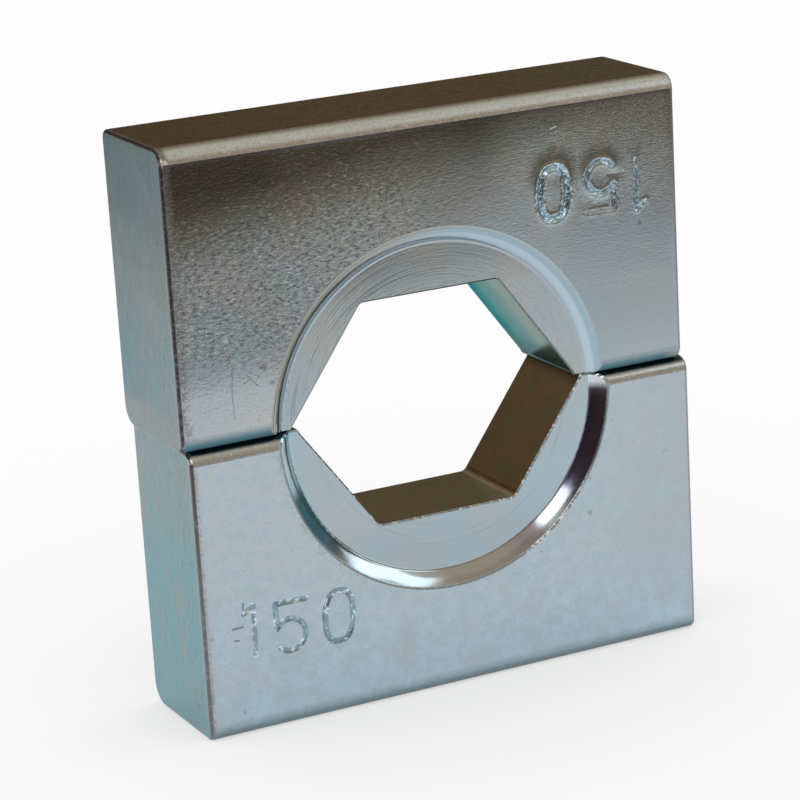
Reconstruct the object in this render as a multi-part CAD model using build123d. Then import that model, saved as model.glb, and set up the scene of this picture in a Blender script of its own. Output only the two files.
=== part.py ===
from build123d import *
import math
import os

# A pair of crimping dies: two flat steel blocks that meet edge to edge round a six-sided bore.
# Millimetres. X runs along the width, Y from the front to the back, Z up. The pair stands on
# the lower block's outer face, and the origin is at the middle of the space it stands on.

# The blocks
block_width = 40.0
block_height = 21.2
block_thickness = 10.2
# The lower block has slid this far to the right of the upper one.
lower_shift = 0.5
# Every edge of the two sawn ends is broken by this much.
end_edge_break = 0.25

# Roundings along the four long edges of each block. "Outer" edges are on the face away from
# the bore and "meeting" edges are on the face where the two blocks touch.
upper_outer_front = 1.05
upper_outer_back = 0.7
upper_meeting_front = 0.85
upper_meeting_back = 1.5
lower_outer_front = 0.6
lower_outer_back = 1.6
lower_meeting_front = 1.0
lower_meeting_back = 0.35

# The six-sided bore. It is lower than a regular hexagon, so its sides lean at 54 degrees.
bore_width = 22.9
bore_flat_width = 10.9
bore_height = 16.4
bore_corner_radius = 0.6
# The rounding where each side of the bore runs out onto the meeting face.
lip_radius = 0.2
# One break follows the bore's mouth, its lips, the ends of the recess and the recess's rim.
recess_edge_break = 0.12

# The round recess that surrounds the bore on both faces. Its wall is a cone, and its centre is
# a little below the plane where the blocks meet.
recess_floor_radius = 12.1
recess_rim_radius = 13.2
recess_front_depth = 0.85
recess_back_depth = 1.4
recess_floor_fillet = 0.3
recess_centre_drop = 0.4


def bar_profile(outer_front, outer_back, meeting_front, meeting_back):
    """The block seen from its right end, with a radius of its own at each corner."""
    near, far = -block_thickness / 2, block_thickness / 2
    with BuildSketch(Plane.YZ) as profile:
        with BuildLine():
            c1 = CenterArc((near + meeting_front, meeting_front), meeting_front, 180, 90)
            c2 = CenterArc((far - meeting_back, meeting_back), meeting_back, 270, 90)
            c3 = CenterArc((far - outer_back, block_height - outer_back), outer_back, 0, 90)
            c4 = CenterArc((near + outer_front, block_height - outer_front), outer_front, 90, 90)
            Line(c1 @ 1, c2 @ 0)
            Line(c2 @ 1, c3 @ 0)
            Line(c3 @ 1, c4 @ 0)
            Line(c4 @ 1, c1 @ 0)
        make_face()
    return profile.sketch


def bar(roundings):
    """A block above the meeting plane, rounded along its long edges and broken at its ends."""
    block = extrude(bar_profile(*roundings), amount=block_width / 2, both=True)
    ends = block.faces().sort_by(Axis.X)
    return fillet(ends[0].edges() + ends[-1].edges(), end_edge_break)


def bore_cutter():
    """The upper half of the bore as a prism along Y, run straight down past the meeting plane.

    Each leaning side turns upright at the meeting plane through a corner of bore_corner_radius.
    """
    half, flat, rise = bore_width / 2, bore_flat_width / 2, bore_height / 2
    lean = math.atan2(rise, half - flat)
    mouth = half - bore_corner_radius * (1 / math.sin(lean) - 1)
    with BuildPart() as cutter:
        with BuildSketch(Plane.XZ):
            Polygon((-half, 0), (-flat, -rise), (flat, -rise), (half, 0), (flat, rise), (-flat, rise), align=None)
            fillet(vertices(), bore_corner_radius)
            Rectangle(block_width, rise + 1, align=(Align.CENTER, Align.MAX), mode=Mode.SUBTRACT)
            Rectangle(2 * mouth, 1, align=(Align.CENTER, Align.MAX))
        extrude(amount=block_thickness, both=True)
    return cutter.part


def recess_cutter(depth, outward, centre_z):
    """A cone that narrows from the rim, on the face that looks along outward, to the floor."""
    slope = (recess_rim_radius - recess_floor_radius) / depth
    reach = depth + 1.0
    mouth_radius = recess_floor_radius + slope * reach
    floor = Plane(origin=(0, outward * (block_thickness / 2 - depth), centre_z), z_dir=(0, outward, 0))
    return floor * Cone(recess_floor_radius, mouth_radius, reach, align=(Align.CENTER, Align.CENTER, Align.MIN))


def circles(shape, y, radius):
    """The arcs of that radius that lie in the plane at y."""
    found = ShapeList()
    for edge in shape.edges().filter_by(GeomType.CIRCLE):
        if abs(edge.center().Y - y) < 1e-4 and abs(edge.radius - radius) < 1e-3:
            found.append(edge)
    return found


def bore_mouth(shape, y):
    """The edges above the meeting plane where the bore opens onto the recess floor at y.

    They run on without a corner through the lips and the recess's ends to its rim, so a chamfer
    on them takes in all of those.
    """
    reach = bore_width / 2
    found = ShapeList()
    for edge in shape.edges():
        box = edge.bounding_box()
        flat = abs(box.min.Y - y) < 1e-4 and abs(box.max.Y - y) < 1e-4
        if flat and max(-box.min.X, box.max.X) < reach and box.size.Z + box.min.Z > lip_radius:
            found.append(edge)
    return found


def lips(shape):
    """The two edges where the bore's sides run out onto the meeting face."""
    found = ShapeList()
    for edge in shape.edges().filter_by(Axis.Y):
        if abs(edge.center().Z) < 1e-4 and abs(edge.center().X) < bore_width / 2:
            found.append(edge)
    return found


def die_half(roundings, recess_z):
    """One half of the pair, standing on its meeting face at z = 0."""
    half = bar(roundings) - bore_cutter()
    half -= recess_cutter(recess_front_depth, -1, recess_z)
    half -= recess_cutter(recess_back_depth, 1, recess_z)
    floors = (recess_front_depth - block_thickness / 2, block_thickness / 2 - recess_back_depth)
    for y in floors:
        half = fillet(circles(half, y, recess_floor_radius), recess_floor_fillet)
    half = fillet(lips(half), lip_radius)
    for y in floors:
        half = chamfer(bore_mouth(half, y), recess_edge_break)
    return half


upper_roundings = (upper_outer_front, upper_outer_back, upper_meeting_front, upper_meeting_back)
lower_roundings = (lower_outer_front, lower_outer_back, lower_meeting_front, lower_meeting_back)

# The upper half keeps its modelled pose; the lower one is turned over round the bore's axis.
upper = Pos(-lower_shift / 2, 0, block_height) * die_half(upper_roundings, -recess_centre_drop)
lower = Pos(lower_shift / 2, 0, block_height) * Rot(0, 180, 0) * die_half(lower_roundings, recess_centre_drop)

os.makedirs("parts", exist_ok=True)
export_step(upper, "parts/upper_die_half.step")
export_step(lower, "parts/lower_die_half.step")
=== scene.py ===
import math

import bpy
import numpy as np
from mathutils import Matrix, Vector, geometry


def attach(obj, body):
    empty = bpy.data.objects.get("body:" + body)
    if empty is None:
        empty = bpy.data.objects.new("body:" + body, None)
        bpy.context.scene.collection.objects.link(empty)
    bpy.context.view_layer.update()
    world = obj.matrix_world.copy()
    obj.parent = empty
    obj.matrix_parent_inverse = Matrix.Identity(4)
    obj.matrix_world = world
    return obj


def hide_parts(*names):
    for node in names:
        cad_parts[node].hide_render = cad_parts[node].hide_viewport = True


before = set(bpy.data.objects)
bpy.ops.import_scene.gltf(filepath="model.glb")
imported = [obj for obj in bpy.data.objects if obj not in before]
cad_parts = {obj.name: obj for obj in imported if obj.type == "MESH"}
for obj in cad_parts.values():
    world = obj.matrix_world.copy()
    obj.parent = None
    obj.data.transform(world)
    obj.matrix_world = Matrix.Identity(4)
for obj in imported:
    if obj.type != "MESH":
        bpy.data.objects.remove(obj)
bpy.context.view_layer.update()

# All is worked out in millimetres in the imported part's frame and turned into metres where it
# is handed to Blender. x runs to the right, y to the back and z up.
MM = 0.001

UPPER, LOWER = "upper_die_half", "lower_die_half"

# The blocks: their front and back faces, the plane where they meet, and each one's middle
FRONT_Y, BACK_Y = -5.1, 5.1
MEETING_Z = 21.2
HALF_MIDDLE = {UPPER: -0.25, LOWER: 0.25}
BLOCK_WIDTH = 40.0
END_BREAK = 0.25

# The recess round the bore. WALL_TILTS has the degrees between its wall's normal and its axis,
# at the front (-1) and the back (1). The domed wall has WALL_SWING more than that at the floor
# and as much less after 1 / WALL_DOME of its width. The rim goes from RIM_TILT down by RIM_SWING.
RECESS_Z = 20.8
RECESS_FLOORS = (-4.25, 3.7)
RECESS_FLOOR_RADIUS, RECESS_RIM_RADIUS = 12.1, 13.2
WALL_TILTS = {-1: 37.7, 1: 51.8}
WALL_SWING, WALL_DOME = 8, 1.3
RIM_RADII = (13.105, 13.32)
RIM_TILT, RIM_SWING = 40, 35

# A part of a unit normal that counts as the whole of it, and a distance that counts as none
SQUARE_ON = 0.9999
TOUCHING = 1e-3


# ---- The size number, stamped a digit at a time --------------------------
# Each digit is a list of strokes, and each stroke a list of (x, z, strength). x runs from the
# half's middle and z from the outer face, with the digits upright. Strength 1 is a full-depth
# groove.

def oval(cx, cz, width, height, lean, strength, count=28):
    """A closed stroke with straight flanks. strength is a function of the angle round it."""
    points = []
    for i in range(count + 1):
        turn = 2 * math.pi * i / count
        c, s = math.cos(turn), math.sin(turn)
        x = math.copysign(abs(c) ** 0.72, c) * width / 2
        z = math.copysign(abs(s) ** 0.86, s) * height / 2
        points.append((cx + x + lean * z, cz + z, strength(turn)))
    return points


def arc(cx, cz, rx, rz, start, end, strengths, count):
    """Part of an ellipse between two angles in degrees. The strength runs from one to another."""
    points = []
    for i in range(count + 1):
        t = i / count
        turn = math.radians(start + (end - start) * t)
        strength = strengths[0] + (strengths[1] - strengths[0]) * t
        points.append((cx + rx * math.cos(turn), cz + rz * math.sin(turn), strength))
    return points


def digits(middles, one, five, bar, nought):
    """The strokes of 1, 5 and 0 at three x. The strikes and the five's bar differ in strength."""
    x1, x5, x0 = middles
    return [
        [(x1, 9.45, 0.9 * one), (x1 + 0.02, 8.9, one), (x1 - 0.03, 5.75, 0.45 * one)],
        [(x1, 9.4, 0.8 * one), (x1 - 0.75, 8.95, 0.75 * one)],
        [(x5 - 1.15, 9.15, bar), (x5 + 1.25, 9.12, 0.8 * bar)],
        [(x5 - 1.15, 9.15, five), (x5 - 1.12, 7.7, 0.9 * five)],
        arc(x5 - 0.12, 6.68, 1.18, 1.2, 148, -142, (0.9 * five, 0.75 * five), 18),
        oval(x0, 7.28, 2.2, 3.75, 0.04, lambda turn: nought * (0.9 + 0.12 * math.cos(turn - 2.2))),
    ]


# A shallow dent near the upper half's outer edge
DENT = [[(-9.8, 2.7, 0.1), (-10.15, 2.6, 0.12)]]
STROKES = {
    LOWER: digits((-16.15, -13.3, -9.57), one=0.75, five=0.85, bar=0.85, nought=0.95),
    UPPER: digits((-16.6, -13.62, -9.8), one=0.55, five=0.95, bar=0.5, nought=1.2) + DENT,
}
NUMBER_Z = {LOWER: 7.3, UPPER: 2 * MEETING_Z - 7.3}

# Section of a groove and of the metal that it throws up: a sharp burr along it and a broad swell
# round it, which is highest above the number. GRIT has the pitch, seed and weight of its noises.
GROOVE_HALF_WIDTH = {LOWER: 0.24, UPPER: 0.28}
GROOVE_DEPTH = {LOWER: 0.10, UPPER: 0.16}
BURR_OFF, BURR_WIDTH, BURR_HEIGHT = 0.05, 0.11, 0.012
SWELL_HEIGHT = {LOWER: 0.012, UPPER: 0.036}
SWELL_WIDTH, SWELL_FADE = 0.75, 0.6
GRIT = ((0.13, 5, 0.6), (0.3, 6, 0.7))

# Strokes weaker than this keep the face's own material
STRUCK_FROM = 0.2

# Point spacings of the stamped face, each with the distances from a stroke that it is used
# between, and how near to the face's rim points may come
FAR = 1e9
SPACINGS = ((0.05, -1, 0.42), (0.11, 0.42, 1.1), (0.25, 1.1, 2.4), (0.6, 2.4, FAR))
RIM_GAP = 0.3
ROW_STEP = 0.866


def place_strokes(name):
    """The half's strokes as arrays of segment starts and ends (x, z) and of their strengths."""
    middle = HALF_MIDDLE[name]
    starts, ends, strengths = [], [], []
    for stroke in STROKES[name]:
        if name == UPPER:
            placed = [(middle - x, 2 * MEETING_Z - z, strength) for x, z, strength in stroke]
        else:
            placed = [(middle + x, z, strength) for x, z, strength in stroke]
        for a, b in zip(placed, placed[1:]):
            starts.append(a[:2])
            ends.append(b[:2])
            strengths.append((a[2], b[2]))
    return np.array(starts), np.array(ends), np.array(strengths)


def groove_half_width(name, strength):
    """A shallow strike leaves a narrower groove than a deep one."""
    return GROOVE_HALF_WIDTH[name] * np.sqrt(np.clip(strength, 0.15, 1.3))


def to_segments(points, starts, ends):
    """For each point, its distance to the nearest segment, which segment, and how far along it."""
    best = np.full(len(points), FAR)
    which = np.zeros(len(points), int)
    along = np.zeros(len(points))
    for i, (a, b) in enumerate(zip(starts, ends)):
        run = b - a
        t = np.clip(((points - a) @ run) / max(run @ run, 1e-12), 0, 1)
        d = np.linalg.norm(points - a - t[:, None] * run, axis=1)
        nearer = d < best
        best[nearer], which[nearer], along[nearer] = d[nearer], i, t[nearer]
    return best, which, along


def lattice_noise(points, pitch, seed):
    """Smooth noise from -1 to 1 over (x, z) points, between seeded values on a lattice."""
    size = 512
    table = np.random.default_rng(seed).uniform(-1, 1, (size, size))
    p = points / pitch
    cell = np.floor(p).astype(int)
    f = p - cell
    f = f * f * (3 - 2 * f)
    i, j = cell[:, 0] % size, cell[:, 1] % size
    i2, j2 = (i + 1) % size, (j + 1) % size
    low = table[i, j] * (1 - f[:, 0]) + table[i2, j] * f[:, 0]
    high = table[i, j2] * (1 - f[:, 0]) + table[i2, j2] * f[:, 0]
    return low * (1 - f[:, 1]) + high * f[:, 1]


def relief(points, name):
    """How far the stamped front face stands out of its plane at each (x, z)."""
    starts, ends, strengths = place_strokes(name)
    d, which, along = to_segments(points, starts, ends)
    strength = strengths[which, 0] * (1 - along) + strengths[which, 1] * along
    half_width = groove_half_width(name, strength)
    inside = np.clip(d / half_width, 0, 1)
    groove = 1 - inside ** 2 * (3 - 2 * inside)
    grit = sum(lattice_noise(points, pitch, seed) * weight for pitch, seed, weight in GRIT)
    burr = np.exp(-(((d - half_width - BURR_OFF) / BURR_WIDTH) ** 2))
    above = 1 / (1 + np.exp(-(points[:, 1] - NUMBER_Z[name]) / SWELL_FADE))
    swell = np.exp(-((d / SWELL_WIDTH) ** 2)) * (0.15 + 0.85 * above)
    out = -GROOVE_DEPTH[name] * strength * groove * (1 + 0.3 * grit)
    out += BURR_HEIGHT * strength * burr * (1 + 0.8 * grit)
    out += SWELL_HEIGHT[name] * strength * swell
    return out


# ---- The pieces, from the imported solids' own faces -----------------------

def packed_arrays(node):
    """A CAD node's mesh as points, triangles on shared points, and corner normals."""
    mesh = node.data
    raw = np.empty(len(mesh.vertices) * 3)
    mesh.vertices.foreach_get("co", raw)
    raw = np.round(raw.reshape(-1, 3) / MM, 4)
    points, index = np.unique(raw, axis=0, return_inverse=True)
    index = index.reshape(-1)
    corners = np.empty(len(mesh.loops), int)
    mesh.loops.foreach_get("vertex_index", corners)
    triangles = index[corners].reshape(-1, 3)
    normals = np.array([c.vector[:] for c in mesh.corner_normals]).reshape(-1, 3, 3)
    return points, triangles, normals


def face_normals(points, triangles):
    a, b, c = (points[triangles[:, i]] for i in range(3))
    n = np.cross(b - a, c - a)
    return n / np.maximum(np.linalg.norm(n, axis=1), 1e-12)[:, None]


def rim_edges(triangles):
    """The edges that only one of the triangles has."""
    seen = {}
    for t in triangles:
        for a, b in ((t[0], t[1]), (t[1], t[2]), (t[2], t[0])):
            key = (min(a, b), max(a, b))
            seen[key] = seen.get(key, 0) + 1
    return [k for k, n in seen.items() if n == 1]


def within(points, starts, ends):
    """Even-odd test of (x, z) points against closed loops of segments."""
    inside = np.zeros(len(points), bool)
    for a, b in zip(starts, ends):
        spans = (a[1] > points[:, 1]) != (b[1] > points[:, 1])
        with np.errstate(divide="ignore", invalid="ignore"):
            cross = a[0] + (points[:, 1] - a[1]) * (b[0] - a[0]) / (b[1] - a[1])
        inside ^= spans & (points[:, 0] < cross)
    return inside


def hex_lattice(low, high, pitch):
    """Points in staggered rows between two corners."""
    rows = int((high[1] - low[1]) / (pitch * ROW_STEP)) + 1
    made = []
    for r in range(rows):
        z = low[1] + r * pitch * ROW_STEP
        x = np.arange(low[0] + (r % 2) * pitch / 2, high[0], pitch)
        made.append(np.stack([x, np.full(len(x), z)], axis=1))
    return np.concatenate(made)


def face_points(starts, ends, name):
    """Points for the inside of the front face, close together near the strokes."""
    low, high = np.minimum(starts, ends).min(0), np.maximum(starts, ends).max(0)
    strokes = place_strokes(name)[:2]
    near = np.minimum(*strokes).min(0), np.maximum(*strokes).max(0)
    kept = []
    for pitch, from_stroke, to_stroke in SPACINGS:
        if to_stroke < FAR:
            grid = hex_lattice(near[0] - to_stroke, near[1] + to_stroke, pitch)
        else:
            grid = hex_lattice(low, high, pitch)
        d = to_segments(grid, *strokes)[0]
        grid = grid[(d >= from_stroke) & (d < to_stroke)]
        grid = grid[within(grid, starts, ends)]
        grid = grid[to_segments(grid, starts, ends)[0] > min(RIM_GAP, pitch * 0.8)]
        kept.append(grid)
    return np.concatenate(kept)


def stamped_face(points, triangles, front, name):
    """The front face made again with points where the number needs them.

    Returns all points with the new ones last, triangles that share the old rim points, and the
    new points' (x, z).
    """
    rim = rim_edges(triangles[front])
    rim_points = sorted({i for e in rim for i in e})
    local = {p: i for i, p in enumerate(rim_points)}
    flat = points[rim_points][:, [0, 2]]
    edges = [(local[a], local[b]) for a, b in rim]
    starts = flat[[a for a, _ in edges]]
    ends = flat[[b for _, b in edges]]
    inner = face_points(starts, ends, name)
    corners = [Vector(p) for p in np.concatenate([flat, inner])]
    inside_only, too_near = 1, 1e-7
    found = geometry.delaunay_2d_cdt(corners, edges, [], inside_only, too_near)
    made, _, faces, origin = found[:4]
    if len(made) != len(corners):
        raise RuntimeError("the front face's mesh gained or lost points")
    came_from = [o[0] for o in origin]
    ids = np.array(rim_points + list(range(len(points), len(points) + len(inner))))
    faces = ids[np.array([[came_from[i] for i in f] for f in faces])]
    out = relief(inner, name)
    new_points = np.stack([inner[:, 0], FRONT_Y - out, inner[:, 1]], axis=1)
    everything = np.concatenate([points, new_points])
    wrong_way = face_normals(everything, faces)[:, 1] > 0
    faces[wrong_way] = faces[wrong_way][:, ::-1]
    return everything, faces, inner


def stamped_normals(inner, faces, old_count, name):
    """Corner normals of the stamped face, from the slope of its relief."""
    step = 0.01
    slopes = []
    for x, z in ((step, 0), (0, step)):
        slopes.append((relief(inner + (x, z), name) - relief(inner - (x, z), name)) / (2 * step))
    n = np.stack([-slopes[0], -np.ones(len(inner)), -slopes[1]], axis=1)
    n /= np.linalg.norm(n, axis=1)[:, None]
    table = np.tile((0.0, -1.0, 0.0), (old_count + len(inner), 1))
    table[old_count:] = n
    return table[faces]


ZONES = ("face", "stamp", "outer", "end", "recess_floor", "recess_wall", "rim", "mouth", "bore",
         "rounding", "parting", "edge")


def zones(points, triangles, name):
    """Which kind of surface each triangle belongs to, as an index into ZONES."""
    n = face_normals(points, triangles)
    mid = points[triangles].mean(axis=1)
    x = mid[:, 0] - HALF_MIDDLE[name]
    radius = np.hypot(x, mid[:, 2] - RECESS_Z)
    facing = abs(n[:, 1])
    from_meeting = abs(mid[:, 2] - MEETING_Z)
    on_faces, on_floors = (
        np.minimum(abs(mid[:, 1] - front), abs(mid[:, 1] - back)) < TOUCHING
        for front, back in ((FRONT_Y, BACK_Y), RECESS_FLOORS)
    )
    outside = (abs(n[:, 0]) < 1e-3) & (radius > RECESS_RIM_RADIUS + 0.3) & (facing < SQUARE_ON)
    wall = (abs(mid[:, 1]) > 3.6) & (facing > 0.02) & (facing < SQUARE_ON)
    wall &= (radius > RECESS_FLOOR_RADIUS - 0.6) & (radius < RECESS_RIM_RADIUS + 0.05)
    wall &= from_meeting > 0.02
    rim = (facing > 0.87) & (facing < 0.975) & (radius > RECESS_RIM_RADIUS - 0.12)
    rim &= abs(x) < BLOCK_WIDTH / 2 - 1
    # A later mark replaces an earlier one. What none of them takes is the bore's mouth.
    marks = (
        ("edge", abs(x) > BLOCK_WIDTH / 2 - END_BREAK - TOUCHING),
        ("recess_wall", wall),
        ("rim", rim),
        ("face", (facing > SQUARE_ON) & on_faces),
        ("recess_floor", (facing > SQUARE_ON) & on_floors),
        ("rounding", outside & (from_meeting > 10)),
        ("parting", outside & (from_meeting < 10)),
        ("outer", (abs(n[:, 2]) > SQUARE_ON) & outside),
        ("end", abs(n[:, 0]) > SQUARE_ON),
        ("bore", (facing < 1e-3) & (radius < RECESS_FLOOR_RADIUS + 0.5)),
    )
    zone = np.full(len(triangles), ZONES.index("mouth"))
    for kind, where in marks:
        zone[where] = ZONES.index(kind)
    return zone


def round_the_wall(points, triangles, normals, kinds, name):
    """Corner normals that give the recess's wall a domed section and round its rim."""
    normals = normals.copy()
    for kind in ("recess_wall", "rim"):
        picked = np.flatnonzero(kinds == ZONES.index(kind))
        corners = points[triangles[picked]]
        n = normals[picked]
        x = corners[:, :, 0] - HALF_MIDDLE[name]
        z = corners[:, :, 2] - RECESS_Z
        radius = np.hypot(x, z)
        side = np.sign(corners[:, :, 1])
        tilt = np.where(side < 0, WALL_TILTS[-1], WALL_TILTS[1])
        if kind == "rim":
            changed = np.ones(radius.shape, bool)
            t = np.clip((radius - RIM_RADII[0]) / (RIM_RADII[1] - RIM_RADII[0]), 0, 1)
            turned = np.radians(RIM_TILT - RIM_SWING * t)
        else:
            changed = abs(abs(n[:, :, 1]) - np.cos(np.radians(tilt))) < 0.02
            width = RECESS_RIM_RADIUS - RECESS_FLOOR_RADIUS
            t = np.clip(WALL_DOME * (radius - RECESS_FLOOR_RADIUS) / width, 0, 1)
            turned = np.radians(tilt + WALL_SWING * np.cos(math.pi * t))
        lean = np.sin(turned)
        rounded = -x / radius * lean, side * np.cos(turned), -z / radius * lean
        normals[picked] = np.where(changed[:, :, None], np.stack(rounded, axis=2), n)
    return normals


def build_half(name, materials):
    """A piece that stands for one packed half: its own faces, with the front face stamped."""
    points, triangles, normals = packed_arrays(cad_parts[name])
    n = face_normals(points, triangles)
    off_front = abs(points[triangles][:, :, 1] - FRONT_Y).max(axis=1)
    front = (n[:, 1] < -SQUARE_ON) & (off_front < TOUCHING)
    everything, faces, inner = stamped_face(points, triangles, front, name)
    face_part = stamped_normals(inner, faces, len(points), name)
    triangles, normals = triangles[~front], normals[~front]
    kinds = zones(everything, triangles, name)
    normals = round_the_wall(everything, triangles, normals, kinds, name)
    starts, ends, strengths = place_strokes(name)
    middles = everything[faces].mean(axis=1)[:, [0, 2]]
    away, which, _ = to_segments(middles, starts, ends)
    strength = strengths[which].mean(axis=1)
    struck = (away < groove_half_width(name, strength) * 1.1) & (strength > STRUCK_FROM)
    face_kinds = np.where(struck, ZONES.index("stamp"), ZONES.index("face"))
    kinds = np.concatenate([kinds, face_kinds])
    triangles = np.concatenate([triangles, faces])
    normals = np.concatenate([normals, face_part])
    mesh = bpy.data.meshes.new(name + "_plated")
    mesh.from_pydata((everything * MM).tolist(), [], triangles.tolist())
    for zone in ZONES:
        mesh.materials.append(materials[zone])
    mesh.polygons.foreach_set("material_index", kinds.astype(np.int32))
    mesh.polygons.foreach_set("use_smooth", np.ones(len(triangles), bool))
    mesh.normals_split_custom_set(normals.reshape(-1, 3).tolist())
    mesh.update()
    piece = bpy.data.objects.new(name + "_plated", mesh)
    bpy.context.scene.collection.objects.link(piece)
    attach(piece, "root")
    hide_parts(name)


# ---- Materials -----------------------------------------------------------

class Shader:
    """A material's node tree, with short calls that add nodes and join them.

    place is the position in millimetres, and x, y and z are its parts. colour and normal are
    what the surface has so far: cover and tint work on the one, and bump on the other.
    """

    def __init__(self, half, title):
        self.upper = half == UPPER
        self.middle = HALF_MIDDLE[half]
        self.material = bpy.data.materials.new(half.split("_")[0] + "_" + title)
        self.material.use_nodes = True
        self.tree = self.material.node_tree
        self.surface = self.tree.nodes["Principled BSDF"]
        coordinates = self.tree.nodes.new("ShaderNodeTexCoord")
        self.place = self.vector("SCALE", coordinates.outputs["Object"], scale=1 / MM)
        self.x, self.y, self.z = self.node("SeparateXYZ", Vector=self.place).outputs
        self.colour = None
        self.normal = None

    def put(self, socket, value):
        """Link or set an input. Colours are written as (r, g, b)."""
        if isinstance(value, bpy.types.NodeSocket):
            self.tree.links.new(value, socket)
        elif value is not None:
            socket.default_value = (*value, 1) if socket.type == "RGBA" else value

    def node(self, kind, settings=None, **inputs):
        made = self.tree.nodes.new("ShaderNode" + kind)
        for key, value in (settings or {}).items():
            setattr(made, key, value)
        for key, value in inputs.items():
            self.put(made.inputs[key.replace("_", " ")], value)
        return made

    def vector(self, operation, a, b=None, scale=None):
        made = self.node("VectorMath", {"operation": operation})
        self.put(made.inputs[0], a)
        self.put(made.inputs[1], b)
        if scale is not None:
            self.put(made.inputs["Scale"], scale)
        gives_number = operation in ("LENGTH", "DISTANCE", "DOT_PRODUCT")
        return made.outputs["Value" if gives_number else "Vector"]

    def math(self, operation, a, b=None):
        made = self.node("Math", {"operation": operation})
        self.put(made.inputs[0], a)
        self.put(made.inputs[1], b)
        return made.outputs[0]

    def minus(self, a, b):
        return self.math("SUBTRACT", a, b)

    def product(self, *factors):
        """A factor that is a tuple is the arguments of a ramp."""
        factors = [self.ramp(*f) if isinstance(f, tuple) else f for f in factors]
        made = factors[0]
        for factor in factors[1:]:
            made = self.math("MULTIPLY", made, factor)
        return made

    def away(self, value, middle):
        return self.math("ABSOLUTE", self.minus(value, middle))

    def pushed(self, value, noise, amount):
        """A value that wanders with a noise."""
        return self.math("ADD", value, self.product(noise, amount))

    def polar(self, along, across):
        """Round the recess's axis: a place with its own scales along and across the turning
        marks, the radius, and the angle."""
        flat = self.vector("SUBTRACT", self.place, (self.middle, 0, RECESS_Z))
        flat = self.vector("MULTIPLY", flat, (1, 0, 1))
        parts = self.node("SeparateXYZ", Vector=flat)
        turn = self.math("ARCTAN2", parts.outputs["Z"], parts.outputs["X"])
        radius = self.vector("LENGTH", flat)
        wall_radius = 12.6
        made = self.node("CombineXYZ", X=self.product(turn, wall_radius * along),
                         Y=self.product(radius, across), Z=0.0)
        return made.outputs[0], radius, turn

    def noise(self, scale, detail=3, roughness=0.55, place=None):
        made = self.node("TexNoise", Vector=place or self.place, Scale=scale, Detail=detail,
                         Roughness=roughness)
        return made.outputs["Fac"]

    def stretched(self, scales, detail=3, roughness=0.6, turn=0.0):
        """A noise with a scale for each axis, turned about y by some radians."""
        mapping = self.node("Mapping", Vector=self.place, Rotation=(0, turn, 0), Scale=scales)
        return self.noise(1.0, detail, roughness, mapping.outputs["Vector"])

    def ramp(self, value, low, high, to_low=0.0, to_high=1.0):
        made = self.node("MapRange", Value=value, From_Min=low, From_Max=high, To_Min=to_low,
                         To_Max=to_high)
        return made.outputs["Result"]

    def band(self, value, rise, top, end, fall):
        """Two factors whose product is 1 from top to end and fades to 0 at rise and fall."""
        return (value, rise, top), (value, fall, end)

    def mix(self, factor, a, b, blend="MIX"):
        """Between two colours."""
        made = self.node("Mix", {"data_type": "RGBA", "blend_type": blend})
        for i, value in ((0, factor), (6, a), (7, b)):
            self.put(made.inputs[i], value)
        return made.outputs[2]

    def blend(self, factor, a, b):
        """Between two numbers."""
        made = self.node("Mix", {"data_type": "FLOAT"})
        for i, value in ((0, factor), (2, a), (3, b)):
            self.put(made.inputs[i], value)
        return made.outputs[0]

    def either(self, factors):
        """The largest of some factors."""
        together = factors[0]
        for factor in factors[1:]:
            together = self.math("MAXIMUM", together, factor)
        return together

    def spots(self, places, blur=0.6):
        """1 inside flat round spots at (x, z, radius), 0 outside, with ragged edges."""
        flat = self.vector("MULTIPLY", self.place, (1, 0, 1))
        ragged = self.product(self.noise(3.0, 2), 0.35)
        made = []
        for x, z, radius in places:
            away = self.math("ADD", self.vector("DISTANCE", flat, (x, 0, z)), ragged)
            made.append(self.ramp(away, radius + 0.17 + blur * radius, radius + 0.17))
        return self.either(made)

    def lines(self, places, half_width):
        """1 along straight lines between pairs of (x, z), fading out over half_width."""
        flat = self.vector("MULTIPLY", self.place, (1, 0, 1))
        made = []
        for (x0, z0), (x1, z1) in places:
            run = Vector((x1 - x0, 0, z1 - z0))
            from_start = self.vector("SUBTRACT", flat, (x0, 0, z0))
            along = self.vector("DOT_PRODUCT", from_start, run)
            along = self.math("DIVIDE", along, run.length_squared)
            along.node.use_clamp = True
            away = self.vector("DISTANCE", from_start, self.vector("SCALE", run, scale=along))
            made.append(self.ramp(away, half_width, half_width * 0.3))
        return self.either(made)

    def cover(self, colour, *factors):
        """Lay a colour over the surface by the product of the factors."""
        self.colour = self.mix(self.product(*factors), self.colour, colour)

    def tint(self, colour, *factors):
        """Multiply the surface's colour by another, by the product of the factors."""
        self.colour = self.mix(self.product(*factors), self.colour, colour, "MULTIPLY")

    def drift(self, colour, cool, warm):
        """A plating film that drifts slowly from one colour to another."""
        slow = self.noise(0.2, 2, 0.5)
        self.colour = colour
        self.cover(cool, (slow, 0.5, 0.34))
        self.cover(warm, (slow, 0.5, 0.66))

    def bump(self, height, depth):
        made = self.node("Bump", Height=height, Distance=depth * MM, Strength=1.0)
        self.put(made.inputs["Normal"], self.normal)
        self.normal = made.outputs["Normal"]

    def finish(self, roughness, metallic=1.0, grazing=None):
        """grazing is the tint that the metal takes on where it is seen almost edge on."""
        for key, value in (("Base Color", self.colour), ("Roughness", roughness),
                           ("Metallic", metallic), ("Specular Tint", grazing),
                           ("Normal", self.normal)):
            self.put(self.surface.inputs[key], value)
        return self.material


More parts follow.
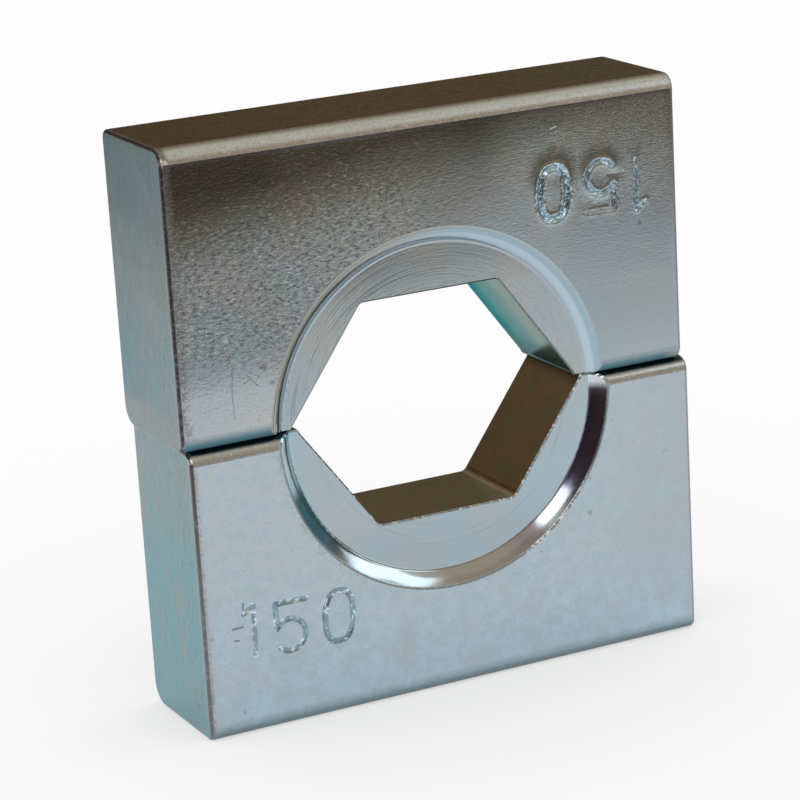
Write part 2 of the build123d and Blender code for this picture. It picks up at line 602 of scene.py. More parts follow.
ZINC = (0.47, 0.575, 0.635)
PIT = (0.10, 0.09, 0.095)
PAINTED_GLINT = (0.85, 0.87, 0.88)
UPPER_FACE = (0.365, 0.42, 0.445), (0.345, 0.425, 0.46), (0.39, 0.42, 0.42)
LOWER_FACE = (0.445, 0.54, 0.61)
LOWER_FLOOR = (0.375, 0.455, 0.505), (0.365, 0.465, 0.52), (0.40, 0.455, 0.48)
RUBBED = (0.37, 0.39, 0.41)
# Painted shade along the lower half's foot
PAINTED_SHADE_SLATE = (0.22, 0.30, 0.34)
DARK_EDGE = (0.09, 0.085, 0.095)
END_LIKE = (0.24, 0.31, 0.33)

# Marks at the places where the photograph shows them: spots as (x, z, radius), lines as two (x, z)
BROWN_SPOTS = [
    (16.59, 31.88, 0.12), (-14.70, 27.63, 0.10), (-13.78, 26.37, 0.2), (-13.18, 25.18, 0.12),
    (-12.92, 29.27, 0.15), (-16.23, 27.53, 0.1), (-16.84, 28.02, 0.05), (-17.58, 28.07, 0.06),
    (-17.50, 27.19, 0.05),
]
GREY_SPOTS = [
    (7.12, 13.44, 0.12), (11.46, 10.90, 0.16), (-17.09, 1.72, 0.1), (8.94, 11.17, 0.06),
    (-19.1, 7.6, 0.1), (11.58, 13.5, 0.1), (7.3, 8.72, 0.08),
]
# Painted shade: dull haloes over the upper number and its dent
PAINTED_SHADE_HALOES = [(9.0, 36.7, 0.9), (10.1, 36.7, 0.9), (12.9, 36.8, 0.75), (14.0, 36.8, 0.65)]
PAINTED_SHADE_DENT_HALO = [(9.72, 39.72, 0.08)]
SCRATCHES = [
    ((-16.11, 26.88), (-16.25, 24.9)), ((-16.25, 24.9), (-16.19, 23.1)),
    ((-15.05, 26.05), (-14.29, 25.13)), ((-14.43, 29.21), (-12.73, 27.71)),
]
NICKS = [
    ((-17.53, 7.98), (-16.76, 8.03)), ((-16.62, 9.71), (-16.66, 9.2)),
    ((-17.44, 7.14), (-17.14, 7.07)),
]


def paint_face(sh):
    """The ground front and back. Spots, scratches and nicks are on the front only."""
    front = sh.math("LESS_THAN", sh.y, 0.0)
    rubbed = (sh.away(sh.x, sh.middle), 19.15, 19.6)
    chipped = (sh.noise(4.2, 3, 0.7), 0.45, 0.55), (sh.x, -19.2, -19.65)
    paint = paint_upper_face if sh.upper else paint_lower_face
    return paint(sh, front, rubbed, chipped)


def paint_upper_face(sh, front, rubbed, chipped):
    grain = sh.stretched((2.3, 1.0, 4.6), 6, 0.74, turn=-0.12)
    corner = sh.product((sh.z, 37.5, 39.5), (sh.x, -10.5, -13.0))
    strong = sh.product((sh.z, 24.8, 29.3, 0.15), (sh.x, 3.0, -5.0, 0.1), (corner, 0, 1, 1, 0.5))
    sh.drift(*UPPER_FACE)
    slow = sh.noise(0.33, 2, 0.5)
    mottled = (sh.x, 6.0, -2.0, 0.15, 0.35)
    sh.cover((0.40, 0.385, 0.395), (slow, 0.53, 0.66), mottled)
    sh.cover((0.325, 0.42, 0.415), (slow, 0.46, 0.34), mottled)
    # Painted shade and light in broad patches: painted shade, browning towards the top left corner
    # and at the middle of both sides, and painted light at the top right and low at the left
    darker = sh.ramp(sh.minus(sh.z, sh.product(sh.x, 0.19)), 37.0, 41.5)
    left = (sh.x, -8.0, -13.0)
    sh.tint((0.31, 0.28, 0.225), darker)
    sh.tint((0.88, 0.785, 0.685), (sh.x, 6.5, 0.0), (sh.z, 33.0, 38.0))
    sh.tint((1.33, 1.33, 1.28), (sh.x, 4.0, 8.0), (sh.z, 33.0, 37.0))
    sh.tint((0.88, 0.89, 0.90), left, *sh.band(sh.z, 25.0, 27.5, 32.0, 37.0))
    sh.tint((1.17, 1.15, 1.16), left, (sh.z, 27.5, 25.0))
    sh.tint((0.86, 0.87, 0.89), (sh.x, 4.0, 12.0), (sh.z, 37.5, 33.0), (sh.z, 22.0, 25.0))
    # Dark marks of the grain, pale flecks that are painted glints, and pits
    sh.cover((0.10, 0.11, 0.125), (grain, 0.475, 0.40), strong, 0.82)
    sh.cover((0.62, 0.66, 0.67), (grain, 0.55, 0.62), (strong, 0.3, 0.9),
             (darker, 0, 1, 1, 0.3), 0.6)
    sh.cover(PIT, (sh.stretched((3.2, 1.0, 4.5)), 0.62, 0.68), strong, 0.7)
    # Painted shade as dull haloes over the number, worn ends, spots, scratches, and painted shade
    # lines along the parting at the bottom and under the top rounding
    painted_shade_haloes = sh.either([sh.spots(PAINTED_SHADE_HALOES, 0.9), sh.spots(PAINTED_SHADE_DENT_HALO, 1.5)])
    sh.cover((0.22, 0.19, 0.16), painted_shade_haloes, front, 0.4)
    sh.cover(RUBBED, rubbed, 0.5)
    sh.cover(PIT, *chipped, 0.45)
    sh.cover(PIT, (sh.noise(4.5, 2), 0.69, 0.74, 0, 0.75))
    sh.cover((0.2, 0.15, 0.13), sh.spots(BROWN_SPOTS), front, 0.55)
    sh.cover(PIT, sh.lines(SCRATCHES, 0.07), front, 0.38)
    # Painted shade along the parting line and under the top rounding
    sh.cover((0.06, 0.10, 0.12), (sh.z, 22.3, 22.0, 0, 0.4))
    sh.cover((0.17, 0.19, 0.24), (sh.z, 40.95, 41.3, 0, 0.5))
    sh.bump(sh.product(sh.minus(grain, 0.5), (strong, 0, 1, 0.09, 1.0)), 0.037)
    sh.bump(sh.stretched((0.9, 1.0, 12.0)), 0.0016)
    sh.bump(sh.noise(8.5, 2, 0.6), 0.002)
    return sh.finish(sh.ramp(grain, 0.3, 0.7, 0.13, 0.19))


def paint_lower_face(sh, front, rubbed, chipped):
    sh.colour = LOWER_FACE
    sh.cover((0.395, 0.445, 0.48), (sh.x, 9.0, 17.0, 0, 0.8))
    sh.cover((0.41, 0.55, 0.66), (sh.z, 8.0, 1.5))
    # Mottles of three sizes, warm at the top left
    mottle = sh.noise(0.5, 2, 0.5)
    sh.cover((0.435, 0.485, 0.52), (mottle, 0.53, 0.70, 0, 0.45))
    sh.cover((0.39, 0.51, 0.55), (mottle, 0.46, 0.35, 0, 0.65))
    sh.cover((0.43, 0.475, 0.49), (sh.noise(0.37, 2, 0.5), 0.53, 0.70, 0, 0.45))
    clouds = sh.noise(1.3, 4, 0.65)
    sh.cover((0.375, 0.455, 0.515), (clouds, 0.58, 0.40, 0, 0.55))
    sh.cover((0.46, 0.50, 0.50), (clouds, 0.44, 0.60), (sh.x, -7.0, -12.0), (sh.z, 9.0, 13.0), 0.7)
    fine = sh.noise(6.5, 3, 0.7)
    sh.cover((0.35, 0.42, 0.47), (fine, 0.60, 0.42, 0, 0.32))
    sh.cover((0.24, 0.25, 0.26), (fine, 0.68, 0.73), (sh.x, -8.0, -15.0, 0.25, 0.6))
    # Burrs at the left of the recess, worn ends, painted shade in slate along the lower edge, spots
    # and nicks
    radius = sh.polar(1.0, 1.0)[1]
    sh.cover((0.24, 0.25, 0.26), (sh.noise(5.0, 3, 0.7), 0.53, 0.62),
             (radius, 14.0, 13.4), (sh.x, -5.0, -9.0), 0.6)
    sh.cover((0.42, 0.44, 0.46), rubbed, 0.6)
    sh.cover((0.13, 0.12, 0.12), *chipped, 0.8)
    sh.cover(PAINTED_SHADE_SLATE, (sh.pushed(sh.z, sh.noise(0.8, 2), 0.5), 1.45, 0.85, 0, 0.8))
    sh.cover((0.22, 0.25, 0.27), (sh.noise(2.6, 2), 0.71, 0.76, 0, 0.5))
    sh.cover((0.22, 0.24, 0.25), sh.spots(GREY_SPOTS), front, 0.5)
    sh.cover((0.10, 0.13, 0.14), sh.lines(NICKS, 0.11), front, 0.75)
    grain = sh.stretched((2.7, 1.0, 9.0), 4, 0.65)
    sh.bump(grain, 0.0012)
    sh.bump(sh.noise(2.6, 2), 0.003)
    return sh.finish(sh.ramp(grain, 0.3, 0.7, 0.14, 0.18))


def paint_stamp(sh):
    if sh.upper:
        sh.colour = (0.28, 0.41, 0.50)
        # Painted glints on the strokes
        sh.cover((0.62, 0.76, 0.84), (sh.noise(4.0, 3, 0.6), 0.49, 0.60))
        # The five is a little darker than the rest, and its bar is dull.
        five = sh.band(sh.x, 11.7, 12.2, 14.8, 15.2)
        sh.tint((0.88, 0.85, 0.82), *five)
        sh.cover((0.28, 0.27, 0.26), *five, (sh.z, 33.9, 33.5), 0.6)
        sh.bump(sh.noise(6.0, 4, 0.7), 0.022)
        return sh.finish(0.26)
    sh.colour = (0.22, 0.34, 0.40)
    sh.cover((0.33, 0.44, 0.50), (sh.noise(1.1, 2), 0.40, 0.58))
    # Painted glints on the strokes
    sh.cover((0.69, 0.82, 0.90), (sh.noise(2.2, 2), 0.53, 0.62))
    sh.bump(sh.noise(7.0, 3, 0.65), 0.012)
    return sh.finish(0.30)


def paint_outer(sh):
    sh.colour = (0.385, 0.375, 0.37)
    sh.cover((0.34, 0.395, 0.382), (sh.noise(0.6, 3, 0.6), 0.4, 0.6))
    sh.tint((0.74, 0.70, 0.64), (sh.x, -6.0, -15.0))
    sh.tint((1.0, 1.16, 1.18), (sh.x, 8.0, 15.0))
    rubbed = sh.stretched((2.5, 4.0, 4.0), 4, 0.7)
    sh.cover((0.16, 0.145, 0.14), (rubbed, 0.54, 0.40, 0, 0.65))
    sh.cover((0.56, 0.55, 0.51), (rubbed, 0.57, 0.66, 0, 0.6))
    sh.bump(sh.stretched((2.2, 3.0, 4.0), 4, 0.7), 0.02)
    return sh.finish(0.20)


def paint_end(sh):
    """A sawn end: patches of film, upright saw streaks, and pits behind the front edge."""
    if sh.upper:
        sh.colour = (0.225, 0.30, 0.31)
        sh.cover((0.27, 0.43, 0.51), (sh.z, 34.0, 41.0))
        sh.cover((0.215, 0.305, 0.325), (sh.z, 30.0, 24.0))
    else:
        sh.colour = (0.245, 0.345, 0.36)
        sh.cover((0.165, 0.36, 0.41), (sh.z, 19.0, 11.0))
    patches = sh.stretched((0.3, 0.38, 0.17))
    sh.cover((0.275, 0.325, 0.33), (patches, 0.52, 0.64, 0, 0.65))
    sh.cover((0.17, 0.34, 0.39), (patches, 0.48, 0.37, 0, 0.55))
    streaks = sh.stretched((4.0, 6.5, 0.6))
    sh.cover((0.13, 0.18, 0.20), (streaks, 0.45, 0.70, 0, 0.36))
    sh.cover((0.15, 0.20, 0.22), (sh.noise(7.0, 3, 0.7), 0.56, 0.40, 0, 0.3))
    more_pits = sh.product((sh.y, -1.8, -2.6, 0, 0.07), (sh.y, -4.6, -3.9))
    pits = sh.math("ADD", sh.stretched((4.0, 4.5, 1.6)), more_pits)
    sh.cover(PIT, (pits, 0.67, 0.73, 0, 0.75))
    near_edge = (sh.pushed(sh.y, sh.noise(0.7, 2), 0.6), -4.0, -4.6)
    if sh.upper:
        sh.cover((0.33, 0.36, 0.365), near_edge, 0.45)
        # Painted light makes it paler at the top. At the left, bluish low down at the back and
        # pinkish at the foot.
        at_left = sh.math("LESS_THAN", sh.x, 0.0)
        sh.tint((1.42, 1.50, 1.50), (sh.z, 37.5, 42.0))
        sh.tint((0.70, 0.88, 0.96), (sh.y, -3.0, 3.5), (sh.z, 33.0, 27.0),
                (sh.z, 23.0, 24.0), at_left)
        sh.tint((1.18, 1.0, 0.95), (sh.z, 24.0, 23.0), at_left)
    else:
        sh.cover((0.32, 0.36, 0.37), near_edge, 0.45)
        # Painted reflection: brown near the top of the front edge
        sh.cover((0.36, 0.31, 0.27), near_edge, (sh.z, 17.0, 19.0), 0.7)
    sh.bump(streaks, 0.008)
    return sh.finish(sh.ramp(streaks, 0.3, 0.7, 0.27, 0.35))


def paint_recess_floor(sh):
    marks, radius, turn = sh.polar(0.22, 7.0)
    turned = sh.noise(1.0, 4, 0.7, marks)
    lines = sh.noise(1.0, 1, 0.5, sh.polar(0.1, 4.2)[0])
    if sh.upper:
        sh.drift(*UPPER_FACE)
        sh.tint((0.84, 0.83, 0.80), (sh.z, 29.0, 31.5))
        sh.cover((0.17, 0.19, 0.22), (lines, 0.60, 0.66), (turn, 1.0, 1.9, 0.08, 0.6))
        sh.cover((0.2, 0.2, 0.2), (sh.noise(6.5, 2, 0.6), 0.62, 0.70, 0, 0.5))
        sh.bump(turned, 0.0065)
        sh.bump(sh.noise(8.0, 2), 0.0015)
        return sh.finish(0.17)
    sh.drift(*LOWER_FLOOR)
    sh.tint((0.94, 0.95, 0.95), (sh.z, 14.0, 11.0))
    sh.cover(PIT, (lines, 0.61, 0.66), (radius, 11.2, 10.4), 0.14)
    sh.bump(turned, 0.0009)
    return sh.finish(0.16)


def paint_recess_wall(sh):
    marks, radius, turn = sh.polar(0.45, 5.0)
    sh.bump(sh.noise(1.0, 3, 0.6, marks), 0.0045)
    if sh.upper:
        # At the right a painted highlight, a pale band between bluish borders. The left is brownish
        # on its outer side.
        sh.colour = (0.315, 0.45, 0.56)
        sh.cover((0.34, 0.44, 0.48), (radius, 12.85, 13.05))
        sh.cover((0.38, 0.43, 0.45), (radius, 12.3, 12.15))
        sh.cover((0.455, 0.56, 0.635), *sh.band(radius, 12.2, 12.4, 12.7, 12.85))
        sh.cover((0.37, 0.45, 0.50), (turn, 1.4, 2.1))
        sh.cover((0.39, 0.40, 0.36), (turn, 1.5, 1.9), (radius, 12.55, 12.75))
        return sh.finish(0.15)
    # Painted reflections and shade round the wall, from the left end to the right: teal, painted
    # shade, zinc, olive, mauve, painted shade and a silvery painted highlight at the tip
    teal = sh.mix(sh.ramp(turn, -2.95, -2.78), (0.38, 0.51, 0.53), (0.25, 0.46, 0.51))
    at_left = sh.either([sh.ramp(turn, -2.40, -2.52), sh.math("GREATER_THAN", turn, 0.0)])
    sh.colour = sh.mix(at_left, ZINC, teal)
    sh.cover((0.15, 0.17, 0.19), *sh.band(turn, -2.47, -2.40, -2.30, -2.22), 0.6)
    sh.cover((0.385, 0.40, 0.41), *sh.band(turn, -1.85, -1.6, -1.1, -1.0))
    sh.cover((0.32, 0.31, 0.38), *sh.band(turn, -1.25, -1.1, -0.98, -0.92))
    # Painted shade towards the right end, and a painted highlight at its tip
    at_right = sh.math("GREATER_THAN", sh.x, 0.0)
    sh.cover((0.25, 0.25, 0.34), (turn, -0.78, -0.62), at_right)
    sh.cover((0.10, 0.09, 0.12), (turn, -0.32, -0.10), at_right)
    sh.cover((0.60, 0.67, 0.70), (turn, -0.065, -0.02), at_right)
    return sh.finish(0.14)


def paint_rim(sh):
    turn = sh.polar(1.0, 1.0)[2]
    beads = sh.noise(7.0, 2, 0.6)
    if sh.upper:
        sh.colour = (0.37, 0.47, 0.52)
        sh.cover((0.36, 0.38, 0.34), (turn, 1.0, 1.8))
        sh.bump(beads, 0.006)
        return sh.finish(0.28)
    sh.colour = (0.27, 0.33, 0.37)
    sh.cover((0.38, 0.45, 0.49), (beads, 0.42, 0.6))
    # Painted highlights along part of the rim
    painted_highlight = sh.product(*sh.band(turn, -1.2, -1.05, -0.65, -0.5), (sh.noise(5.0, 1), 0.50, 0.56))
    sh.cover((0.88, 0.95, 1.0), painted_highlight)
    sh.bump(beads, 0.01)
    return sh.finish(sh.blend(painted_highlight, 0.28, 0.5))


def paint_mouth(sh):
    """The edge break round the bore's mouth and the lips."""
    beads = sh.noise(6.0, 2, 0.6)
    if sh.upper:
        sh.colour = (0.26, 0.27, 0.28)
        sh.cover((0.15, 0.15, 0.16), (beads, 0.47, 0.38))
        sh.bump(beads, 0.01)
        return sh.finish(0.35, grazing=(0.6, 0.62, 0.63))
    sh.colour = (0.33, 0.36, 0.38)
    sh.cover((0.16, 0.15, 0.14), (beads, 0.47, 0.38))
    # Painted highlights at bright places, of which the lips have more, and one at the bore's corner
    on_lip = sh.ramp(sh.z, 20.8, 20.95)
    low, high = sh.blend(on_lip, 0.59, 0.46), sh.blend(on_lip, 0.65, 0.52)
    painted_highlight = sh.either([sh.ramp(sh.noise(4.6, 1), low, high), sh.spots([(6.23, 12.86, 0.06)], 1.0)])
    sh.cover((0.86, 0.93, 1.0), painted_highlight)
    sh.bump(beads, 0.014)
    return sh.finish(sh.blend(painted_highlight, 0.35, 0.55))


def paint_bore(sh):
    lines = sh.stretched((5.0, 0.5, 5.0))
    if sh.upper:
        # Green film, with painted shade darker towards the back and low down by the parting, and a
        # tint for square on and one for edge on at each of four places
        inward = sh.pushed(sh.y, sh.noise(0.5, 2), 1.6)
        layers = (
            ((inward, 3.6, 1.9), (0.18, 0.30, 0.30), (0.40, 0.59, 0.58)),
            ((inward, 0.9, -1.6), (0.28, 0.335, 0.32), (0.55, 0.64, 0.605)),
            ((sh.z, 23.6, 21.8), (0.17, 0.22, 0.23), (0.36, 0.44, 0.45)),
        )
        sh.colour, grazing = (0.10, 0.25, 0.26), (0.24, 0.50, 0.52)
        for factor, square_on, edge_on in layers:
            sh.cover(square_on, factor)
            grazing = sh.mix(sh.ramp(*factor), grazing, edge_on)
        sh.bump(lines, 0.004)
        return sh.finish(0.2, grazing=grazing)
    sh.colour = (0.535, 0.445, 0.36)
    sh.cover((0.425, 0.48, 0.375), (sh.stretched((1.3, 0.3, 1.3)), 0.40, 0.60))
    sh.cover((0.36, 0.38, 0.34), (sh.noise(0.6, 2), 0.52, 0.66, 0, 0.5))
    # The bottom side gets less light, so painted light makes its colour paler. Its corner and the
    # lips are dark.
    sh.tint((1.28, 1.42, 1.50), (sh.z, 13.3, 13.0))
    corner = sh.spots([(5.8, 13.15, 0.15)], 1.5)
    sh.cover((0.27, 0.20, 0.13), corner, 0.8)
    sh.cover((0.16, 0.17, 0.17), (sh.z, 20.3, 21.0, 0, 0.8))
    sh.cover(PIT, (sh.noise(4.0, 2), 0.68, 0.74, 0, 0.5))
    sh.bump(lines, 0.006)
    return sh.finish(0.22, grazing=sh.mix(corner, (0.62, 0.62, 0.60), (0.42, 0.38, 0.32)))


def paint_rounding(sh):
    """The long roundings at the outer face. The upper half's are rubbed, with white over beige as
    painted reflection bands and painted glints; the lower half's carry painted shade.
    """
    grain = sh.stretched((3.4, 7.0, 7.0), 4, 0.65)
    if not sh.upper:
        # Painted shade: slate, darker towards the foot
        sh.colour = PAINTED_SHADE_SLATE
        sh.cover((0.13, 0.17, 0.19), (sh.pushed(sh.z, grain, 0.5), 0.85, 0.3))
        sh.bump(grain, 0.006)
        return sh.finish(0.3)
    fine = sh.noise(6.0, 2, 0.6)
    wavy = sh.pushed(sh.z, sh.minus(grain, 0.5), 0.12)
    low = (wavy, 41.85, 41.6)
    # Painted reflection bands: dark brown, bluish white at the top and beige below, with painted
    # glints along the beige
    sh.colour = (0.17, 0.15, 0.12)
    sh.cover((0.58, 0.65, 0.68), (wavy, 42.385, 42.18))
    sh.cover((0.51, 0.51, 0.475), low)
    sh.cover((0.30, 0.29, 0.27), (sh.noise(9.0, 2, 0.6), 0.55, 0.40, 0, 0.35))
    sh.cover((0.28, 0.27, 0.24), (grain, 0.50, 0.36, 0, 0.35))
    sh.cover(PAINTED_GLINT, (fine, 0.60, 0.70), low, 0.8)
    # The left end's tip, with painted shade where its corner is ground off, and a painted glint on
    # it
    sh.cover((0.13, 0.105, 0.10), (sh.pushed(sh.x, fine, 0.25), -19.35, -19.75, 0, 0.75))
    sh.cover((0.8, 0.87, 0.95), sh.spots([(-19.85, 41.5, 0.12)], 1.0))
    sh.bump(grain, 0.024)
    sh.bump(fine, 0.009)
    return sh.finish(sh.ramp(grain, 0.3, 0.7, 0.32, 0.42))


def paint_parting(sh):
    """The roundings that face each other across the parting line, with painted shade where they
    close in.
    """
    grain = sh.stretched((2.2, 6.0, 6.0))
    off = sh.pushed(sh.away(sh.z, MEETING_Z), sh.minus(grain, 0.5), 0.12)
    if sh.upper:
        # Painted shade in the gap, dark and less metallic where it closes in
        painted_gap_shade = sh.ramp(off, 1.0, 0.5)
        gap_shade_colour = sh.mix(sh.ramp(sh.x, 18.2, 19.2), (0.05, 0.15, 0.19), (0.19, 0.25, 0.25))
        sh.colour = sh.mix(painted_gap_shade, UPPER_FACE[0], gap_shade_colour)
        sh.bump(grain, 0.006)
        return sh.finish(sh.blend(painted_gap_shade, 0.2, 0.45), metallic=sh.ramp(painted_gap_shade, 0, 1, 1, 0))
    sh.colour = (0.46, 0.50, 0.51)
    # Painted glints, then painted shade where the gap closes in
    sh.cover(PAINTED_GLINT, (sh.noise(6.0, 2, 0.6), 0.6, 0.68, 0, 0.5))
    sh.cover((0.02, 0.045, 0.055), (off, 0.42, 0.2))
    sh.bump(grain, 0.01)
    return sh.finish(0.26)


def paint_edge(sh):
    """The broken edges round the sawn ends: dark at the left, partly pits and partly painted shade,
    and worn at places.
    """
    chips = sh.noise(4.0, 3, 0.7)
    worn = (sh.stretched((2.5, 2.5, 1.6), 3, 0.65), 0.74, 0.58)
    inward = sh.minus(BLOCK_WIDTH / 2, sh.away(sh.x, sh.middle))
    inward = sh.pushed(inward, sh.minus(chips, 0.5), 0.06)
    at_left = sh.math("LESS_THAN", sh.x, 0.0)
    pits_and_painted_shade = sh.product(*sh.band(inward, 0.0, 0.03, 0.17, 0.25), worn, at_left)
    sh.colour = END_LIKE
    sh.cover((0.30, 0.32, 0.34), (inward, 0.02, 0.14))
    if sh.upper:
        sh.cover(sh.mix(sh.ramp(chips, 0.50, 0.62), DARK_EDGE, (0.22, 0.21, 0.24)), pits_and_painted_shade)
        glint = (-19.97, 41.5, 0.16)
    else:
        upwards = sh.ramp(sh.z, 12.0, 17.0)
        sh.cover(sh.mix(upwards, (0.135, 0.14, 0.15), (0.10, 0.085, 0.08)), pits_and_painted_shade, 0.85)
        glint = (-19.64, 20.57, 0.12)
    sh.cover(END_LIKE, (sh.away(sh.z, MEETING_Z), 0.3, 0.22), (sh.y, -4.6, -4.1))
    # A painted glint at the corner
    sh.cover((0.9, 0.92, 0.93), sh.spots([glint], 1.0))
    sh.bump(chips, 0.02)
    return sh.finish(0.36)


# Each zone's material: its title and what paints it
SURFACES = {
    "face": ("ground_face", paint_face),
    "stamp": ("stamped_stroke", paint_stamp),
    "outer": ("outer_face", paint_outer),
    "end": ("sawn_end", paint_end),
    "recess_floor": ("turned_floor", paint_recess_floor),
    "recess_wall": ("turned_wall", paint_recess_wall),
    "rim": ("recess_rim", paint_rim),
    "mouth": ("bore_mouth", paint_mouth),
    "bore": ("bore", paint_bore),
    "rounding": ("rounding_wear_and_painted_shading", paint_rounding),
    "parting": ("parting_rounding", paint_parting),
    "edge": ("broken_edge", paint_edge),
}
for half in (UPPER, LOWER):
    made = {zone: paint(Shader(half, title)) for zone, (title, paint) in SURFACES.items()}
    build_half(half, made)


# ---- Camera --------------------------------------------------------------
# Fitted to the photograph: the angles in radians, the focal length and the centre of the
# projection in the photograph's pixels, and how far across, up and away TARGET is seen, in mm.
# TARGET is the middle of the upper front face's lower edge.
PHOTO_SIZE = 800
SENSOR = 36
AZIMUTH, ELEVATION, ROLL = 0.4716, 0.3003, -0.0537
FOCAL, CENTRE = 3181.7, (455.8, 463.1)
TARGET = Vector((HALF_MIDDLE[UPPER], FRONT_Y, MEETING_Z))
ACROSS, UP, AWAY = -0.9998, 4.1045, 225.82


def camera():
    back = Vector((
        -math.sin(AZIMUTH) * math.cos(ELEVATION),
        -math.cos(AZIMUTH) * math.cos(ELEVATION),
        math.sin(ELEVATION),
    ))
    right = (-back).cross(Vector((0, 0, 1))).normalized()
    up = right.cross(-back)
    across = math.cos(ROLL) * right + math.sin(ROLL) * up
    upward = -math.sin(ROLL) * right + math.cos(ROLL) * up
    data = bpy.data.cameras.new("photo_camera")
    data.sensor_width = SENSOR
    data.lens = FOCAL * SENSOR / PHOTO_SIZE
    data.shift_x = (PHOTO_SIZE / 2 - CENTRE[0]) / PHOTO_SIZE
    data.shift_y = (CENTRE[1] - PHOTO_SIZE / 2) / PHOTO_SIZE
    data.clip_start, data.clip_end = 0.01, 20
    eye = bpy.data.objects.new("photo_camera", data)
    turn = Matrix((across, upward, back)).transposed()
    place = TARGET - ACROSS * across - UP * upward + AWAY * back
    eye.matrix_world = Matrix.Translation(place * MM) @ turn.to_4x4()
    bpy.context.scene.collection.objects.link(eye)
    bpy.context.scene.camera = eye


camera()


# ---- Floor, surroundings and lamps ---------------------------------------

def emission(name, colour):
    material = bpy.data.materials.new(name)
    material.use_nodes = True
    nodes, links = material.node_tree.nodes, material.node_tree.links
    nodes.remove(nodes["Principled BSDF"])
    light = nodes.new("ShaderNodeEmission")
    light.inputs["Color"].default_value = (*colour, 1)
    links.new(light.outputs[0], nodes["Material Output"].inputs["Surface"])
    return material


def stage_mesh(name, corners, faces, material):
    mesh = bpy.data.meshes.new(name)
    mesh.from_pydata([[c * MM for c in p] for p in corners], [], faces)
    mesh.materials.append(material)
    made = bpy.data.objects.new(name, mesh)
    bpy.context.scene.collection.objects.link(made)
    return made


def reflected(name, corners, faces, material):
    """Seen in the metal and nowhere else, so that it neither hides, shades nor lights anything."""
    made = stage_mesh(name, corners, faces, material)
    for kind in ("camera", "diffuse", "transmission", "volume_scatter", "shadow"):
        setattr(made, "visible_" + kind, False)


def floor():
    """Pale, and half lit from within, so that the object's shadow on it stays light."""
    material = bpy.data.materials.new("pale_floor")
    material.use_nodes = True
    surface = material.node_tree.nodes["Principled BSDF"]
    for key, value in (("Base Color", (0.5, 0.5, 0.5, 1)), ("Roughness", 1.0),
                       ("Specular IOR Level", 0.0), ("Emission Color", (1, 1, 1, 1)),
                       ("Emission Strength", 0.49)):
        surface.inputs[key].default_value = value
    reach = 4000
    corners = [(-reach, -reach, 0), (reach, -reach, 0), (reach, reach, 0), (-reach, reach, 0)]
    stage_mesh("floor", corners, [(0, 1, 2, 3)], material)


def dome_point(radius, azimuth, elevation):
    """A point of a dome round the object. Azimuth 0 is in front of it and 90 at its right."""
    a, e = math.radians(azimuth), math.radians(elevation)
    level = radius * math.cos(e)
    return level * math.sin(a), -level * math.cos(a), 20 + radius * math.sin(e)


def dome_patch(name, radius, azimuths, elevations, material):
    """The part of a dome between two azimuths and two elevations, in steps of about 6 degrees."""
    columns, rows = (max(2, int(abs(b - a) / 6) + 1) for a, b in (azimuths, elevations))
    corners = []
    for elevation in np.linspace(*elevations, rows):
        for azimuth in np.linspace(*azimuths, columns):
            corners.append(dome_point(radius, azimuth, elevation))
    faces = []
    for r in range(rows - 1):
        for c in range(columns - 1):
            i = r * columns + c
            faces.append((i, i + 1, i + columns + 1, i + columns))
    reflected(name, corners, faces, material)


def table_round_paper(material):
    """Dark table top all round the pale sheet that the object stands on, as the metal sees it.

    r runs along the sheet's near edge, which lies almost square to the camera, and a across it.
    """
    right = (math.cos(AZIMUTH), -math.sin(AZIMUTH))
    away = (math.sin(AZIMUTH), math.cos(AZIMUTH))
    far, half_width, near, slant, back, height = 900, 145, -89, 0.03, 190, 0.3
    corners = []
    for r in (-far, -half_width, half_width, far):
        near_edge = near - slant * max(-half_width, min(half_width, r))
        for a in (-far, near_edge, back, far):
            corners.append((r * right[0] + a * away[0], r * right[1] + a * away[1], height))
    faces = []
    for i in range(3):
        for j in range(3):
            if (i, j) != (1, 1):
                k = i * 4 + j
                faces.append((k, k + 4, k + 5, k + 1))
    reflected("table", corners, faces, material)


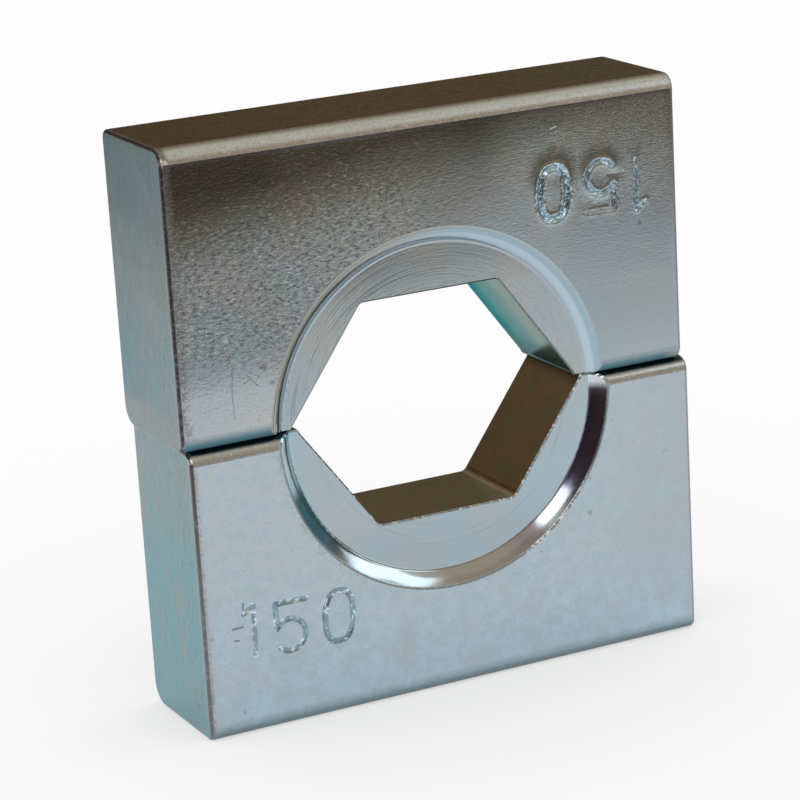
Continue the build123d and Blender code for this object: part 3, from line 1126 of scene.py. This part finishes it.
# The colours of what the metal mirrors
GLOWS = {
    "table_dark": (0.12, 0.075, 0.04),
    "ceiling_warm": (0.68, 0.59, 0.46),
    "room_brown": (0.107, 0.066, 0.032),
    "room_beige": (0.48, 0.39, 0.28),
    "cornice_brown": (0.25, 0.19, 0.11),
    "dark_indigo": (0.04, 0.045, 0.075),
    "dark_brown": (0.075, 0.05, 0.045),
    "dusky_blue": (0.25, 0.28, 0.40),
    "dark_teal": (0.13, 0.19, 0.22),
    "teal": (0.20, 0.38, 0.40),
    "daylight": (1.9, 2.0, 2.0),
    "daylight_low": (1.9, 2.0, 2.0),
    "lamp_light": (3.0, 3.0, 3.0),
}
# Each patch: its name, its dome's radius, its azimuths and elevations, and its glow
PATCHES = (
    ("ceiling", 400, (0, 360), (24, 90), "ceiling_warm"),
    ("room_back", 400, (70, 300), (-4, 24), "room_brown"),
    ("room_front", 400, (-60, 70), (-4, 40), "room_beige"),
    ("cornice", 390, (70, 300), (24, 33), "cornice_brown"),
    ("camera_left", 300, (-75, -50), (-10, 24), "dark_indigo"),
    ("camera_above", 300, (-75, -36), (24, 40), "dark_indigo"),
    ("camera_right", 300, (-50, -15), (-10, 24), "dark_brown"),
    ("curtain", 295, (-38, -28), (25, 31), "dusky_blue"),
    ("doorway", 300, (66, 112), (-3, 9), "dark_teal"),
    ("doorstep", 300, (72, 125), (-16, -3), "teal"),
    ("window", 280, (55, 82), (13, 37), "daylight"),
    ("window_low", 280, (40, 55), (24, 37), "daylight_low"),
)
LAMP_CORNERS = ((-22, 21), (-48, 35), (-32, 52), (-10, 32))

glows = {name: emission(name, colour) for name, colour in GLOWS.items()}
floor()
table_round_paper(glows["table_dark"])
for name, radius, azimuths, elevations, glow in PATCHES:
    dome_patch(name, radius, azimuths, elevations, glows[glow])
lamp_corners = [dome_point(280, *place) for place in LAMP_CORNERS]
reflected("lamp", lamp_corners, [(0, 1, 2, 3)], glows["lamp_light"])

scene = bpy.context.scene
scene.world = bpy.data.worlds.new("studio")
scene.world.use_nodes = True
background = scene.world.node_tree.nodes["Background"]
background.inputs["Color"].default_value = (1, 1, 1, 1)
scene.view_settings.view_transform = "Standard"
